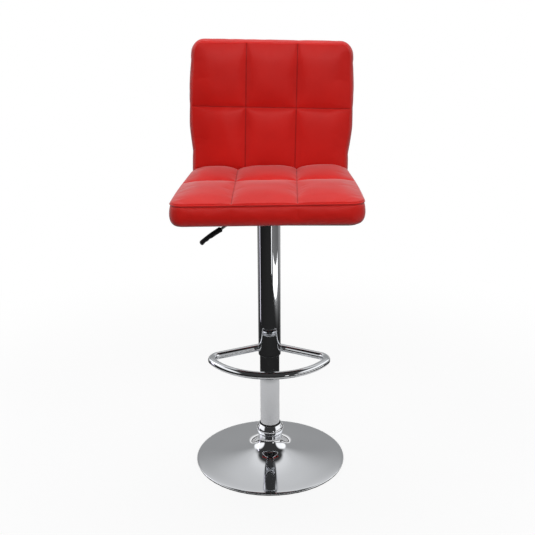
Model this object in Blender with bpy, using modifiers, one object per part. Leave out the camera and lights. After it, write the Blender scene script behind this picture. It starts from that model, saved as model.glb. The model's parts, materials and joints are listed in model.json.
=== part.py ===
"""Adjustable swivel stool: trumpet base, gas-lift column with a foot hoop, quilted seat and back.

Metres. +Z is up, the floor is z = 0, Z runs through the column and the sitter faces -Y.
The seat stands near the top of its travel, with the lever at rest.
"""

import math

import bmesh
import bpy
from mathutils import Matrix, Vector

# Clearances
GAP = 0.0003  # between neighbouring pieces
WELD = 0.00001  # points nearer than this are one

# Sizes that several pieces follow
SEAT_BOTTOM = 0.700
TUBE_RADIUS = 0.025

# Base
BASE_RADIUS = 0.195
BASE_SHEET = 0.0015
NECK_RADIUS = TUBE_RADIUS + 0.0055
NECK_TOP = 0.074
RING_HEIGHT = 0.003
RING_WIDTH = 0.0155
WEIGHT_RADIUS = BASE_RADIUS - 0.023
WEIGHT_BOTTOM = 0.0024
WEIGHT_TOP = 0.0126
WEIGHT_BORE = 0.016
FLANGE_RADIUS = TUBE_RADIUS + 0.021
FLANGE_THICK = 0.0045
FLANGE_BOLT_CIRCLE = TUBE_RADIUS + 0.0105
FLANGE_BOLT_SHANK = 0.004
FLANGE_BOLT_HEAD = 0.0072
FLANGE_BOLT_HEAD_HEIGHT = 0.005

# Fixed tube and collar
TUBE_WALL = 0.0015
TUBE_TOP = 0.395
COLLAR_TOP = NECK_TOP + 0.0295
COLLAR_RADIUS = TUBE_RADIUS + 0.011
COLLAR_RING_WALL = 0.0012
COLLAR_RING_TOP = COLLAR_TOP + 0.002
COLLAR_RING_DEPTH = 0.0055
GUIDE_LENGTH = 0.058
GUIDE_LIP = 0.003

# Piston rod and thrust bearing
ROD_RADIUS = 0.005
ROD_SHOULDER = 0.008
ROD_BOTTOM = 0.0155
ROD_GROOVE = 0.004
CLIP_THICK = 0.0018
CLIP_RADIUS = 0.0095
ROD_SEAT_BOTTOM = 0.023
ROD_SEAT_THICK = 0.006
RACE_THICK = 0.003
RACE_RADIUS = 0.013
BALL_RADIUS = 0.0022
BALL_CIRCLE = 0.0093
BALL_COUNT = 8
CAGE_THICK = 0.0018
SHOULDER_THICK = 0.0034
BUMP_HEIGHT = 0.0195
BUMP_RADIUS = 0.0125
PISTON_BOTTOM = 0.316
PISTON_LENGTH = 0.018

# Gas cylinder
CYLINDER_RADIUS = 0.014
CYLINDER_WALL = 0.002
CYLINDER_BOTTOM = 0.232
CYLINDER_TAPER_START = SEAT_BOTTOM - 0.040
CYLINDER_TAPER_END = CYLINDER_RADIUS - 0.0006
CYLINDER_TOP = SEAT_BOTTOM - 0.021
CHAMBER_TOP = SEAT_BOTTOM - 0.045
ROD_GUIDE_LENGTH = 0.024
BUTTON_RADIUS = 0.003
BUTTON_TOP = SEAT_BOTTOM - 0.015
BUTTON_LENGTH = 0.022

# Cover tube with its bush and cap
COVER_WALL = 0.0015
COVER_CLEARANCE = 0.002
COVER_RADIUS = TUBE_RADIUS + COVER_CLEARANCE + COVER_WALL
COVER_BOTTOM = 0.304
COVER_TOP = SEAT_BOTTOM - 0.0415
BUSH_LENGTH = 0.020
BUSH_LIP = 0.0035
CAP_THICK = 0.005

# Foot hoop
HOOP_TUBE = 0.0095
HOOP_WALL = 0.0015
HOOP_HEIGHT = 0.313
HOOP_ARC_RADIUS = 0.161
HOOP_ARC_END = math.radians(30)
HOOP_ARM_SWEEP = math.radians(27.4)
HOOP_ARM_X = COVER_RADIUS + 0.0091
HOOP_ARM_Y = 0.0055
HOOP_CORNER_RADIUS = 0.027

# Seat mechanism
PLATE_WIDTH = 0.200
PLATE_DEPTH = 0.170
PLATE_THICK = 0.0028
PLATE_RIM = 0.012
PLATE_CORNER = 0.018
PLATE_BOLT_X = 0.078
PLATE_BOLT_Y = 0.062
PLATE_BOLT_SHANK = 0.003
PLATE_BOLT_HEAD = 0.0055
PLATE_BOLT_HEAD_HEIGHT = 0.004
SOCKET_RADIUS = CYLINDER_RADIUS + 0.005
SOCKET_TOP = SEAT_BOTTOM - 0.0215
HOUSING_BOTTOM = SEAT_BOTTOM - 0.0255
HOUSING_SHEET = 0.0023
HOUSING_HALF_WIDTH = SOCKET_RADIUS + 0.0035
HOUSING_REACH_LEVER = 0.046
HOUSING_REACH_FAR = 0.032
PIVOT_X = -0.034
PIVOT_PIN = 0.002
LEVER_ROD = 0.0035
LEVER_TIP_X = 0.002
GRIP_RADIUS = 0.0068
GRIP_START = (-0.1135, -0.0480, SEAT_BOTTOM - 0.0500)
GRIP_END = (-0.1640, -0.0665, SEAT_BOTTOM - 0.0825)
GRIP_BORE_DEPTH = 0.040

# Upholstery and boards
SEAT_THICK = 0.060
SEAT_TOP = SEAT_BOTTOM + SEAT_THICK
SEAT_FRONT = -0.204
SEAT_REAR = 0.118
SEAT_FRONT_WIDTH = 0.449
SEAT_REAR_WIDTH = 0.398
SEAT_FRONT_CORNER = 0.032
SEAT_REAR_CORNER = 0.012
SEAT_EDGE = 0.011
BOARD_INSET = 0.014
BOARD_THICK = 0.012
BOARD_BOTTOM = SEAT_BOTTOM + 0.0016
CLOTH_THICK = 0.0008
BACK_LEAN = math.radians(6.2)
BACK_THICK = 0.055
BACK_CLEARANCE = 0.002
BACK_FOOT_Y = SEAT_REAR + BACK_CLEARANCE + BACK_THICK / 2
BACK_HEIGHT = 0.3740
BACK_FOOT_WIDTH = 0.396
BACK_MID_WIDTH = 0.414
BACK_TOP_WIDTH = 0.404
BACK_CORNER = 0.030
BACK_EDGE = 0.013
BACK_BOARD_WIDTH = BACK_FOOT_WIDTH - 0.046
BACK_BOARD_BOTTOM = 0.008
BACK_BOARD_TOP = BACK_HEIGHT - 0.039
BACK_BOARD_CORNER = 0.030
STRAP_WIDTH = 0.030
STRAP_THICK = 0.004
STRAP_X = 0.120
STRAP_START_Y = 0.010
STRAP_TOP = 0.190
STRAP_BEND = 0.014
SCREW_SHANK = 0.002
SCREW_HEAD = 0.0045
SCREW_HEAD_HEIGHT = 0.0022
SCREW_LENGTH = 0.013

TEE_FLANGE = 0.009
TEE_FLANGE_THICK = 0.0012
TEE_BARREL = 0.0043

SMOOTH_STEPS = 48
TUBE_STEPS = 32
SMALL_STEPS = 20

for old in list(bpy.data.objects):
    bpy.data.objects.remove(old, do_unlink=True)

scene = bpy.context.scene
stool = bpy.data.collections.new("adjustable_swivel_stool")
helpers = bpy.data.collections.new("cutters")
scene.collection.children.link(stool)
scene.collection.children.link(helpers)


def material(name, colour, metallic, roughness):
    made = bpy.data.materials.new(name)
    made.use_nodes = True
    shader = made.node_tree.nodes["Principled BSDF"]
    shader.inputs["Base Color"].default_value = (*colour, 1.0)
    shader.inputs["Metallic"].default_value = metallic
    shader.inputs["Roughness"].default_value = roughness
    made.diffuse_color = (*colour, 1.0)
    return made


def pivot(name, location, rotation=(0.0, 0.0, 0.0), parent=None):
    """An empty that carries pieces and marks their joint."""
    empty = bpy.data.objects.new(name, None)
    empty.empty_display_size = 0.03
    empty.location = location
    empty.rotation_euler = rotation
    empty.parent = parent
    stool.objects.link(empty)
    return empty


def place(name, mesh, look, parent=None, location=(0.0, 0.0, 0.0), rotation=(0.0, 0.0, 0.0)):
    """A named piece, placed in the frame of its parent."""
    piece = bpy.data.objects.new(name, mesh)
    piece.location = location
    piece.rotation_euler = rotation
    piece.parent = parent
    if look is None:
        piece.hide_render = True
        piece.display_type = "WIRE"
        helpers.objects.link(piece)
    else:
        mesh.materials.append(look)
        stool.objects.link(piece)
    return piece


def cut(piece, cutter):
    step = piece.modifiers.new("cut_" + cutter.name, "BOOLEAN")
    step.operation = "DIFFERENCE"
    step.solver = "EXACT"
    step.object = cutter


def join(piece, other):
    step = piece.modifiers.new("join_" + other.name, "BOOLEAN")
    step.operation = "UNION"
    step.solver = "EXACT"
    step.object = other


def shade(mesh, smooth=True):
    for face in mesh.polygons:
        face.use_smooth = smooth


def turned(name, profile, look, steps=TUBE_STEPS, parent=None, location=(0.0, 0.0, 0.0), ring=True,
           rotation=(0.0, 0.0, 0.0)):
    """A turned piece from (radius, height) points, down its outer side; a ring closes on itself."""
    mesh = bpy.data.meshes.new(name)
    points = [(radius, 0.0, height) for radius, height in profile]
    edges = [(i, i + 1) for i in range(len(points) - 1)]
    if ring:
        edges.append((len(points) - 1, 0))
    mesh.from_pydata(points, edges, [])
    piece = place(name, mesh, look, parent, location, rotation)
    spin = piece.modifiers.new("spin", "SCREW")
    spin.axis = "Z"
    spin.angle = math.tau
    spin.steps = steps
    spin.render_steps = steps
    spin.use_merge_vertices = True
    spin.merge_threshold = WELD
    spin.use_smooth_shade = True
    return piece


def disc(name, radius, bottom, top, look, steps=SMALL_STEPS, **more):
    return turned(name, [(0.0, top), (radius, top), (radius, bottom), (0.0, bottom)], look, steps, ring=False, **more)


def washer(name, outer, inner, bottom, top, look, steps=SMALL_STEPS, **more):
    return turned(name, [(outer, top), (outer, bottom), (inner, bottom), (inner, top)], look, steps, **more)


def solid_box(name, low, high, look, parent=None):
    mesh = bpy.data.meshes.new(name)
    shape = bmesh.new()
    bmesh.ops.create_cube(shape, size=1.0)
    centre = (Vector(low) + Vector(high)) / 2
    size = Vector(high) - Vector(low)
    bmesh.ops.transform(shape, matrix=Matrix.Translation(centre) @ Matrix.Diagonal((*size, 1.0)), verts=shape.verts)
    shape.to_mesh(mesh)
    shape.free()
    return place(name, mesh, look, parent)


def corner_arc(centre, radius, start, end, steps):
    angles = [start + (end - start) * i / steps for i in range(steps + 1)]
    return [(centre[0] + radius * math.cos(a), centre[1] + radius * math.sin(a)) for a in angles]


def rounded(corners, radii, steps=6):
    """A closed outline whose corners are arcs of the given radii, through corners listed in order."""
    outline = []
    count = len(corners)
    for i in range(count):
        here = Vector(corners[i])
        before = (Vector(corners[i - 1]) - here).normalized()
        after = (Vector(corners[(i + 1) % count]) - here).normalized()
        half = before.angle(after) / 2
        radius = radii[i]
        reach = radius / math.tan(half)
        middle = here + (before + after).normalized() * (radius / math.sin(half))
        first = here + before * reach - middle
        last = here + after * reach - middle
        start = math.atan2(first.y, first.x)
        sweep = math.atan2(first.x * last.y - first.y * last.x, first.dot(last))
        outline += corner_arc(middle, radius, start, start + sweep, steps)
    return outline


def slab(name, outline, low, high, look, parent=None, upright=False, edge=0.0, edge_steps=3):
    """A flat outline pushed through its thickness; upright ones stand in X and Z and run through in Y."""
    mesh = bpy.data.meshes.new(name)
    shape = bmesh.new()
    if upright:
        ring = [shape.verts.new((x, low, z)) for x, z in outline]
        push = (0.0, high - low, 0.0)
    else:
        ring = [shape.verts.new((x, y, low)) for x, y in outline]
        push = (0.0, 0.0, high - low)
    face = shape.faces.new(ring)
    grown = bmesh.ops.extrude_face_region(shape, geom=[face])
    moved = [item for item in grown["geom"] if isinstance(item, bmesh.types.BMVert)]
    bmesh.ops.translate(shape, vec=push, verts=moved)
    bmesh.ops.recalc_face_normals(shape, faces=shape.faces)
    shape.to_mesh(mesh)
    shape.free()
    piece = place(name, mesh, look, parent)
    if edge:
        rounding = piece.modifiers.new("rounding", "BEVEL")
        rounding.width = edge
        rounding.segments = edge_steps
        rounding.limit_method = "ANGLE"
        rounding.angle_limit = math.radians(50)
        rounding.use_clamp_overlap = False
        shade(mesh)
    return piece


def tube_curve(name, points, radius, sides):
    """A round bar along points, as a closed mesh."""
    curve = bpy.data.curves.new(name, "CURVE")
    curve.dimensions = "3D"
    curve.bevel_depth = radius
    curve.bevel_resolution = sides
    curve.use_fill_caps = True
    line = curve.splines.new("POLY")
    line.points.add(len(points) - 1)
    for point, place_at in zip(line.points, points):
        point.co = (*place_at, 1.0)
    carrier = bpy.data.objects.new(name + "_line", curve)
    scene.collection.objects.link(carrier)
    bpy.context.view_layer.update()
    graph = bpy.context.evaluated_depsgraph_get()
    mesh = bpy.data.meshes.new_from_object(carrier.evaluated_get(graph))
    bpy.data.objects.remove(carrier, do_unlink=True)
    shape = bmesh.new()
    shape.from_mesh(mesh)
    bmesh.ops.remove_doubles(shape, verts=shape.verts, dist=WELD)
    bmesh.ops.recalc_face_normals(shape, faces=shape.faces)
    shape.to_mesh(mesh)
    shape.free()
    mesh.name = name
    shade(mesh)
    return mesh


def rounded_path(points, radii, steps):
    """A path through points in space whose inner corners are arcs."""
    path = [Vector(points[0])]
    for i in range(1, len(points) - 1):
        here = Vector(points[i])
        before = (Vector(points[i - 1]) - here).normalized()
        after = (Vector(points[i + 1]) - here).normalized()
        half = before.angle(after) / 2
        reach = radii[i - 1] / math.tan(half)
        middle = here + (before + after).normalized() * (radii[i - 1] / math.sin(half))
        first = here + before * reach - middle
        last = here + after * reach - middle
        for k in range(steps + 1):
            path.append(middle + first.slerp(last, k / steps).normalized() * radii[i - 1])
    path.append(Vector(points[-1]))
    return path


chrome = material("chrome", (0.80, 0.81, 0.83), 1.0, 0.05)
bare_steel = material("zinc_plated_steel", (0.62, 0.63, 0.62), 1.0, 0.32)
cast_weight = material("cast_iron", (0.10, 0.10, 0.11), 0.7, 0.6)
black_steel = material("black_painted_steel", (0.02, 0.02, 0.022), 0.2, 0.4)
black_plastic = material("black_plastic", (0.012, 0.012, 0.013), 0.0, 0.38)
black_rubber = material("black_rubber", (0.018, 0.018, 0.018), 0.0, 0.7)
red_upholstery = material("red_upholstery", (0.52, 0.012, 0.010), 0.0, 0.36)
plywood = material("plywood", (0.50, 0.36, 0.21), 0.0, 0.6)
dark_cloth = material("dark_cloth", (0.02, 0.02, 0.022), 0.0, 0.9)

# ---------------------------------------------------------------- base

outer_side = [
    (NECK_RADIUS, NECK_TOP), (NECK_RADIUS, NECK_TOP - 0.0090), (NECK_RADIUS + 0.0013, 0.0585),
    (NECK_RADIUS + 0.0053, 0.0503), (NECK_RADIUS + 0.0107, 0.0432), (NECK_RADIUS + 0.0175, 0.0373),
    (NECK_RADIUS + 0.0260, 0.0323), (NECK_RADIUS + 0.0375, 0.0279), (NECK_RADIUS + 0.0515, 0.0238),
    (NECK_RADIUS + 0.0675, 0.0200), (BASE_RADIUS - 0.0770, 0.0162), (BASE_RADIUS - 0.0550, 0.0128),
    (BASE_RADIUS - 0.0350, 0.0102), (BASE_RADIUS - 0.0070, 0.0074), (BASE_RADIUS - 0.0012, 0.0054),
    (BASE_RADIUS, RING_HEIGHT + GAP),
]


def inner_side(points, sheet):
    """The same line moved inwards by the sheet's thickness, listed upwards."""
    moved = []
    last = len(points) - 1
    for i, (radius, height) in enumerate(points):
        ahead = Vector(points[min(i + 1, last)]) - Vector(points[max(i - 1, 0)])
        ahead.normalize()
        if i == 0:
            moved.append((radius - sheet, height))
        elif i == last:
            moved.append((radius - sheet, height))
        else:
            moved.append((radius + ahead.y * sheet, height - ahead.x * sheet))
    return moved[::-1]


turned("base_cover", outer_side + inner_side(outer_side, BASE_SHEET), chrome, SMOOTH_STEPS)

washer("floor_ring", BASE_RADIUS - BASE_SHEET + 0.0006, BASE_RADIUS - BASE_SHEET - RING_WIDTH, 0.0, RING_HEIGHT,
       black_rubber, SMOOTH_STEPS)

weight = turned("base_weight", [
    (FLANGE_RADIUS + 0.014, WEIGHT_TOP), (WEIGHT_RADIUS - 0.062, 0.0096), (WEIGHT_RADIUS - 0.003, 0.0066), (WEIGHT_RADIUS, 0.0054),
    (WEIGHT_RADIUS, WEIGHT_BOTTOM), (WEIGHT_BORE, WEIGHT_BOTTOM), (WEIGHT_BORE, WEIGHT_TOP)], cast_weight, 36)

flange_bottom = WEIGHT_TOP + GAP
flange_top = flange_bottom + FLANGE_THICK
flange = washer("base_flange", FLANGE_RADIUS, TUBE_RADIUS + GAP, flange_bottom, flange_top, bare_steel, TUBE_STEPS)

for number in range(4):
    angle = math.radians(45 + 90 * number)
    spot = (FLANGE_BOLT_CIRCLE * math.cos(angle), FLANGE_BOLT_CIRCLE * math.sin(angle), 0.0)
    hole = disc(f"flange_bolt_hole_{number + 1}", FLANGE_BOLT_SHANK + GAP, -0.01, 0.05, None, 16, location=spot,
                rotation=(0.0, 0.0, 0.1))
    cut(flange, hole)
    cut(weight, hole)
    bolt = turned(f"flange_bolt_{number + 1}", [
        (0.0, flange_top + GAP + FLANGE_BOLT_HEAD_HEIGHT),
        (FLANGE_BOLT_HEAD, flange_top + GAP + FLANGE_BOLT_HEAD_HEIGHT),
        (FLANGE_BOLT_HEAD, flange_top + GAP), (FLANGE_BOLT_SHANK, flange_top + GAP),
        (FLANGE_BOLT_SHANK, WEIGHT_BOTTOM + 0.001), (0.0, WEIGHT_BOTTOM + 0.001)], bare_steel, 6, ring=False,
        location=spot)
    bolt.modifiers["spin"].use_smooth_shade = False

ring_recess = TUBE_RADIUS + GAP + COLLAR_RING_WALL + GAP
turned("neck_collar", [
    (ring_recess, COLLAR_TOP), (TUBE_RADIUS + 0.0040, COLLAR_TOP), (TUBE_RADIUS + 0.0065, COLLAR_TOP - 0.0045),
    (TUBE_RADIUS + 0.0095, COLLAR_TOP - 0.0095), (COLLAR_RADIUS, COLLAR_TOP - 0.0155),
    (TUBE_RADIUS + 0.0100, COLLAR_TOP - 0.0230), (TUBE_RADIUS + 0.0070, NECK_TOP + 0.0016), (TUBE_RADIUS + 0.0050, NECK_TOP + GAP),
    (TUBE_RADIUS + GAP, NECK_TOP + GAP), (TUBE_RADIUS + GAP, COLLAR_RING_TOP - COLLAR_RING_DEPTH - GAP),
    (ring_recess, COLLAR_RING_TOP - COLLAR_RING_DEPTH - GAP)], chrome, 32)

washer("collar_ring", TUBE_RADIUS + GAP + COLLAR_RING_WALL, TUBE_RADIUS + GAP, COLLAR_RING_TOP - COLLAR_RING_DEPTH,
       COLLAR_RING_TOP, black_rubber, TUBE_STEPS)

washer("lower_tube", TUBE_RADIUS, TUBE_RADIUS - TUBE_WALL, flange_bottom, TUBE_TOP, chrome, 48)

guide_outer = TUBE_RADIUS - TUBE_WALL - GAP
guide_inner = CYLINDER_RADIUS + GAP
turned("guide_bush", [
    (TUBE_RADIUS - 0.0002, TUBE_TOP + GAP + GUIDE_LIP), (TUBE_RADIUS - 0.0002, TUBE_TOP + GAP),
    (guide_outer, TUBE_TOP + GAP), (guide_outer, TUBE_TOP - GUIDE_LENGTH),
    (guide_inner, TUBE_TOP - GUIDE_LENGTH), (guide_inner, TUBE_TOP + GAP + GUIDE_LIP)], black_plastic)

rod_seat_top = ROD_SEAT_BOTTOM + ROD_SEAT_THICK
washer("rod_seat", TUBE_RADIUS - TUBE_WALL - GAP, ROD_RADIUS + GAP, ROD_SEAT_BOTTOM, rod_seat_top, bare_steel, 32)

lower_race_top = rod_seat_top + GAP + RACE_THICK
washer("lower_race", RACE_RADIUS, ROD_RADIUS + GAP, rod_seat_top + GAP, lower_race_top, bare_steel, 24)

# ---------------------------------------------------------------- bearing cage, turns about Z

bearing_pivot = pivot("bearing_pivot", (0.0, 0.0, 0.0))
ball_height = lower_race_top + GAP + BALL_RADIUS
cage = washer("ball_cage", RACE_RADIUS - 0.0004, ROD_RADIUS + 0.0012, ball_height - CAGE_THICK / 2,
              ball_height + CAGE_THICK / 2, bare_steel, 24, parent=bearing_pivot)
balls = bpy.data.meshes.new("bearing_balls")
shape = bmesh.new()
for number in range(BALL_COUNT):
    angle = math.tau * number / BALL_COUNT
    spot = Vector((BALL_CIRCLE * math.cos(angle), BALL_CIRCLE * math.sin(angle), ball_height))
    bmesh.ops.create_uvsphere(shape, u_segments=8, v_segments=5, radius=BALL_RADIUS, matrix=Matrix.Translation(spot))
shape.to_mesh(balls)
shape.free()
join(cage, place("bearing_balls", balls, None, parent=bearing_pivot))

# ---------------------------------------------------------------- spindle, turns about Z

spindle_pivot = pivot("spindle_pivot", (0.0, 0.0, 0.0))
upper_race_bottom = ball_height + BALL_RADIUS + GAP
upper_race_top = upper_race_bottom + RACE_THICK
washer("upper_race", RACE_RADIUS, ROD_RADIUS + GAP, upper_race_bottom, upper_race_top, bare_steel, 24,
       parent=spindle_pivot)

shoulder_bottom = upper_race_top + GAP
shoulder_top = shoulder_bottom + SHOULDER_THICK
groove_top = ROD_SEAT_BOTTOM - GAP + GAP / 2
groove_bottom = groove_top - CLIP_THICK - GAP
piston_radius = CYLINDER_RADIUS - CYLINDER_WALL - GAP
turned("piston_rod", [
    (0.0, PISTON_BOTTOM + PISTON_LENGTH), (piston_radius, PISTON_BOTTOM + PISTON_LENGTH),
    (piston_radius, PISTON_BOTTOM), (ROD_RADIUS, PISTON_BOTTOM), (ROD_RADIUS, shoulder_top),
    (ROD_SHOULDER, shoulder_top), (ROD_SHOULDER, shoulder_bottom), (ROD_RADIUS, shoulder_bottom),
    (ROD_RADIUS, groove_top), (ROD_GROOVE, groove_top), (ROD_GROOVE, groove_bottom), (ROD_RADIUS, groove_bottom),
    (ROD_RADIUS, ROD_BOTTOM + 0.0008), (ROD_RADIUS - 0.0008, ROD_BOTTOM), (0.0, ROD_BOTTOM)], chrome, 24,
    parent=spindle_pivot, ring=False)

clip = washer("rod_clip", CLIP_RADIUS, ROD_GROOVE + GAP, ROD_SEAT_BOTTOM - GAP - CLIP_THICK, ROD_SEAT_BOTTOM - GAP,
              bare_steel, 24, parent=spindle_pivot)
cut(clip, solid_box("rod_clip_mouth", (0.0, -0.0032, ROD_BOTTOM), (CLIP_RADIUS + 0.002, 0.0032, ROD_SEAT_BOTTOM + 0.01),
                    None, parent=spindle_pivot))

turned("bump_stop", [
    (BUMP_RADIUS - 0.0015, shoulder_top + GAP + BUMP_HEIGHT), (BUMP_RADIUS, shoulder_top + GAP + BUMP_HEIGHT - 0.002),
    (BUMP_RADIUS, shoulder_top + GAP + 0.001), (BUMP_RADIUS - 0.001, shoulder_top + GAP),
    (ROD_RADIUS + GAP, shoulder_top + GAP), (ROD_RADIUS + GAP, shoulder_top + GAP + BUMP_HEIGHT)], black_rubber, 24,
    parent=spindle_pivot)

# ---------------------------------------------------------------- column, turns about Z and slides along it

column_pivot = pivot("column_pivot", (0.0, 0.0, 0.0), parent=spindle_pivot)
turned("gas_cylinder", [
    (BUTTON_RADIUS + GAP, CYLINDER_TOP), (CYLINDER_TAPER_END, CYLINDER_TOP),
    (CYLINDER_RADIUS, CYLINDER_TAPER_START), (CYLINDER_RADIUS, CYLINDER_BOTTOM),
    (CYLINDER_RADIUS - CYLINDER_WALL, CYLINDER_BOTTOM), (CYLINDER_RADIUS - CYLINDER_WALL, CHAMBER_TOP),
    (BUTTON_RADIUS + GAP, CHAMBER_TOP)], black_steel, 32, parent=column_pivot)

washer("rod_guide", CYLINDER_RADIUS - CYLINDER_WALL - GAP, ROD_RADIUS + GAP, CYLINDER_BOTTOM + 0.001,
       CYLINDER_BOTTOM + 0.001 + ROD_GUIDE_LENGTH, black_plastic, 24, parent=column_pivot)

washer("cover_tube", COVER_RADIUS, COVER_RADIUS - COVER_WALL, COVER_BOTTOM, COVER_TOP, chrome, 48,
       parent=column_pivot)

bush_inner = TUBE_RADIUS + GAP
bush_outer = COVER_RADIUS - COVER_WALL - GAP
turned("cover_bush", [
    (bush_outer, COVER_BOTTOM + BUSH_LENGTH), (bush_outer, COVER_BOTTOM - GAP), (COVER_RADIUS, COVER_BOTTOM - GAP),
    (COVER_RADIUS, COVER_BOTTOM - BUSH_LIP + 0.0006), (COVER_RADIUS - 0.0006, COVER_BOTTOM - BUSH_LIP),
    (bush_inner, COVER_BOTTOM - BUSH_LIP), (bush_inner, COVER_BOTTOM + BUSH_LENGTH)], black_plastic, 40,
    parent=column_pivot)

washer("cover_cap", COVER_RADIUS - COVER_WALL - GAP, CYLINDER_RADIUS + GAP, COVER_TOP - CAP_THICK, COVER_TOP - GAP,
       bare_steel, 32, parent=column_pivot)

# The hoop: an arm from each side of the cover tube to a corner, and an arc round the front.
arm = Vector((math.cos(HOOP_ARM_SWEEP), -math.sin(HOOP_ARM_SWEEP), 0.0))
arm_point = Vector((HOOP_ARM_X, HOOP_ARM_Y, HOOP_HEIGHT))
arc_points = []
for step in range(19):
    angle = -HOOP_ARC_END - (math.pi - 2 * HOOP_ARC_END) * step / 18
    arc_points.append(Vector((HOOP_ARC_RADIUS * math.cos(angle), HOOP_ARC_RADIUS * math.sin(angle), HOOP_HEIGHT)))
tangent = Vector((math.sin(HOOP_ARC_END), math.cos(HOOP_ARC_END), 0.0))
across = arc_points[0] - arm_point
along = (across.x * tangent.y - across.y * tangent.x) / (arm.x * tangent.y - arm.y * tangent.x)
hoop_corner = arm_point + arm * along
root = arm_point - arm * 0.017
half_path = rounded_path([root, hoop_corner, arc_points[0]], [HOOP_CORNER_RADIUS], 6)
mirrored = [Vector((-p.x, p.y, p.z)) for p in reversed(half_path)]
hoop_path = half_path + arc_points[1:-1] + mirrored
hollow_start = root - arm * 0.004
hollow_path = [hollow_start] + hoop_path + [Vector((-hollow_start.x, hollow_start.y, hollow_start.z))]
hoop = place("footrest_hoop", tube_curve("footrest_hoop", hoop_path, HOOP_TUBE, 2), chrome, parent=column_pivot)
hollow = place("footrest_hollow", tube_curve("footrest_hollow", hollow_path, HOOP_TUBE - HOOP_WALL, 1), None,
               parent=column_pivot)
cut(hoop, hollow)
cut(hoop, disc("footrest_cope", COVER_RADIUS + GAP, HOOP_HEIGHT - 0.03, HOOP_HEIGHT + 0.03, None, 48,
               parent=column_pivot))

# ---------------------------------------------------------------- mechanism under the seat

plate_outline = rounded([(-PLATE_WIDTH / 2, -PLATE_DEPTH / 2), (PLATE_WIDTH / 2, -PLATE_DEPTH / 2),
                         (PLATE_WIDTH / 2, PLATE_DEPTH / 2), (-PLATE_WIDTH / 2, PLATE_DEPTH / 2)],
                        [PLATE_CORNER] * 4, 5)
inside_outline = rounded([(-PLATE_WIDTH / 2 + PLATE_THICK, -PLATE_DEPTH / 2 + PLATE_THICK),
                          (PLATE_WIDTH / 2 - PLATE_THICK, -PLATE_DEPTH / 2 + PLATE_THICK),
                          (PLATE_WIDTH / 2 - PLATE_THICK, PLATE_DEPTH / 2 - PLATE_THICK),
                          (-PLATE_WIDTH / 2 + PLATE_THICK, PLATE_DEPTH / 2 - PLATE_THICK)],
                         [PLATE_CORNER - PLATE_THICK] * 4, 5)
plate_top = SEAT_BOTTOM - GAP
plate_bottom = plate_top - PLATE_THICK
plate = slab("seat_plate", plate_outline, plate_top - PLATE_RIM, plate_top, black_steel, parent=column_pivot)
cut(plate, slab("seat_plate_inside", inside_outline, plate_top - 0.04, plate_bottom, None, parent=column_pivot))

turned("taper_socket", [
    (CYLINDER_TAPER_END + GAP, SOCKET_TOP), (SOCKET_RADIUS, SOCKET_TOP), (SOCKET_RADIUS, COVER_TOP + 0.002),
    (CYLINDER_RADIUS + GAP, COVER_TOP + 0.002)], black_steel, 32, parent=column_pivot)

housing = solid_box("lever_housing", (-HOUSING_REACH_LEVER, -HOUSING_HALF_WIDTH, HOUSING_BOTTOM),
                    (HOUSING_REACH_FAR, HOUSING_HALF_WIDTH, plate_bottom - GAP), black_steel, parent=column_pivot)
cut(housing, solid_box("housing_inside", (-0.1, -HOUSING_HALF_WIDTH + HOUSING_SHEET, HOUSING_BOTTOM + HOUSING_SHEET),
                       (0.1, HOUSING_HALF_WIDTH - HOUSING_SHEET, SEAT_BOTTOM), None, parent=column_pivot))
cut(housing, disc("housing_socket_hole", SOCKET_RADIUS + GAP, HOUSING_BOTTOM - 0.01, HOUSING_BOTTOM + HOUSING_SHEET + 0.001, None, 32,
                  parent=column_pivot))

lever_height = BUTTON_TOP + GAP + LEVER_ROD
cut(housing, disc("housing_pivot_hole", PIVOT_PIN + GAP, -0.04, 0.04, None, 16, parent=column_pivot,
                  location=(PIVOT_X, 0.0, lever_height), rotation=(math.pi / 2, 0.0, 0.0)))

# ---------------------------------------------------------------- lever, turns about its cross pin

lever_pivot = pivot("lever_pivot", (PIVOT_X, 0.0, lever_height), parent=column_pivot)
pivot_at = Vector((PIVOT_X, 0.0, lever_height))
grip_start = Vector(GRIP_START) - pivot_at
grip_end = Vector(GRIP_END) - pivot_at
grip_line = (grip_end - grip_start).normalized()
rod_line = rounded_path([
    Vector((LEVER_TIP_X - PIVOT_X, 0.0, 0.0)), Vector((-0.030, 0.0, 0.0)), Vector((-0.050, -0.022, -0.0095)),
    grip_start - grip_line * 0.014, grip_start + grip_line * (GRIP_BORE_DEPTH - 0.002)], [0.016, 0.016, 0.016], 5)
lever_rod = place("lever_rod", tube_curve("lever_rod", rod_line, LEVER_ROD, 2), bare_steel, parent=lever_pivot)
join(lever_rod, disc("lever_cross_pin", PIVOT_PIN, -HOUSING_HALF_WIDTH - 0.001, HOUSING_HALF_WIDTH + 0.001, None, 16,
                     parent=lever_pivot, rotation=(math.pi / 2, 0.0, 0.0)))

grip_length = (grip_end - grip_start).length
grip_turn = Vector((0.0, 0.0, -1.0)).rotation_difference(grip_line).to_euler()
grip = turned("lever_grip", [
    (0.0, 0.0), (GRIP_RADIUS - 0.0018, 0.0), (GRIP_RADIUS - 0.0004, -0.0016), (GRIP_RADIUS, -0.006),
    (GRIP_RADIUS, -0.030), (GRIP_RADIUS - 0.0010, -0.035), (GRIP_RADIUS - 0.0002, -0.041),
    (GRIP_RADIUS - 0.0010, -0.047), (GRIP_RADIUS - 0.0004, -0.053), (GRIP_RADIUS - 0.0016, -grip_length + 0.001),
    (GRIP_RADIUS - 0.0034, -grip_length), (0.0, -grip_length)], black_plastic, 20, parent=lever_pivot,
    location=grip_start, rotation=grip_turn, ring=False)
cut(grip, disc("grip_bore", LEVER_ROD + GAP, -GRIP_BORE_DEPTH, 0.01, None, 16, parent=lever_pivot,
               location=grip_start, rotation=grip_turn))

# ---------------------------------------------------------------- valve button, slides down when pressed

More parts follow.
